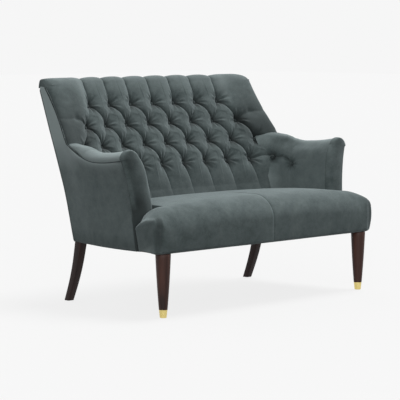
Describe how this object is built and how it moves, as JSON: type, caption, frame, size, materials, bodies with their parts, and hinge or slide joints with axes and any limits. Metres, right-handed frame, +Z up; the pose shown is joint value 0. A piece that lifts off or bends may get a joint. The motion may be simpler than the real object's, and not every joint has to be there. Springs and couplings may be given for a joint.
{
  "type": "snuggler chair",
  "caption": "Wide low-armed upholstered chair with a raked, deep-buttoned back and swept wings, T-shaped sprung seat, tapered front legs with metal ferrules and raked rear legs.",
  "frame": {"origin": "on the floor, under the middle of the chair's bounding box", "axes": "+X to the right of someone who looks at the chair's front, -Y towards that front, +Z up"},
  "size_m": [1.284, 0.8108, 0.901],
  "materials": {
    "velvet": "short soft pile",
    "walnut": "dark satin stain",
    "brass": "satin",
    "beech": "planed, unfinished",
    "spring_steel": "bright drawn",
    "foam": "open-cell foam",
    "hessian": "coarse weave",
    "black_cloth": "thin spun cloth"
  },
  "bodies": {
    "root": {"front_rail": "beech", "back_rail": "beech", "side_rail_left": "beech", "side_rail_right": "beech", "centre_stretcher": "beech", "corner_blocks": "beech", "arm_post_left": "beech", "arm_post_right": "beech", "arm_rail_left": "beech", "arm_rail_right": "beech", "arm_rail_blocks": "beech", "back_post_left": "beech", "back_post_right": "beech", "wing_board_left": "beech", "wing_board_right": "beech", "back_top_rail": "beech", "back_lower_rail": "beech", "back_uprights": "beech", "seat_springs": "spring_steel", "spring_clips": "spring_steel", "back_webbing": "hessian", "seat_foam": "foam", "seat_cover": "velvet", "inside_back": "velvet", "inside_arm_left": "velvet", "inside_arm_right": "velvet", "arm_pad_left": "velvet", "arm_pad_right": "velvet", "arm_facing_left": "velvet", "arm_facing_right": "velvet", "outside_arm_left": "velvet", "outside_arm_right": "velvet", "outside_back": "velvet", "dust_cover": "black_cloth", "back_buttons": "velvet", "arm_buttons": "velvet", "arm_welt_left": "velvet", "arm_welt_right": "velvet", "front_leg_left": "walnut", "front_leg_right": "walnut", "ferrule_left": "brass", "ferrule_right": "brass", "rear_leg_left": "walnut", "rear_leg_right": "walnut", "leg_bolts": "spring_steel"}
  },
  "joints": []
}
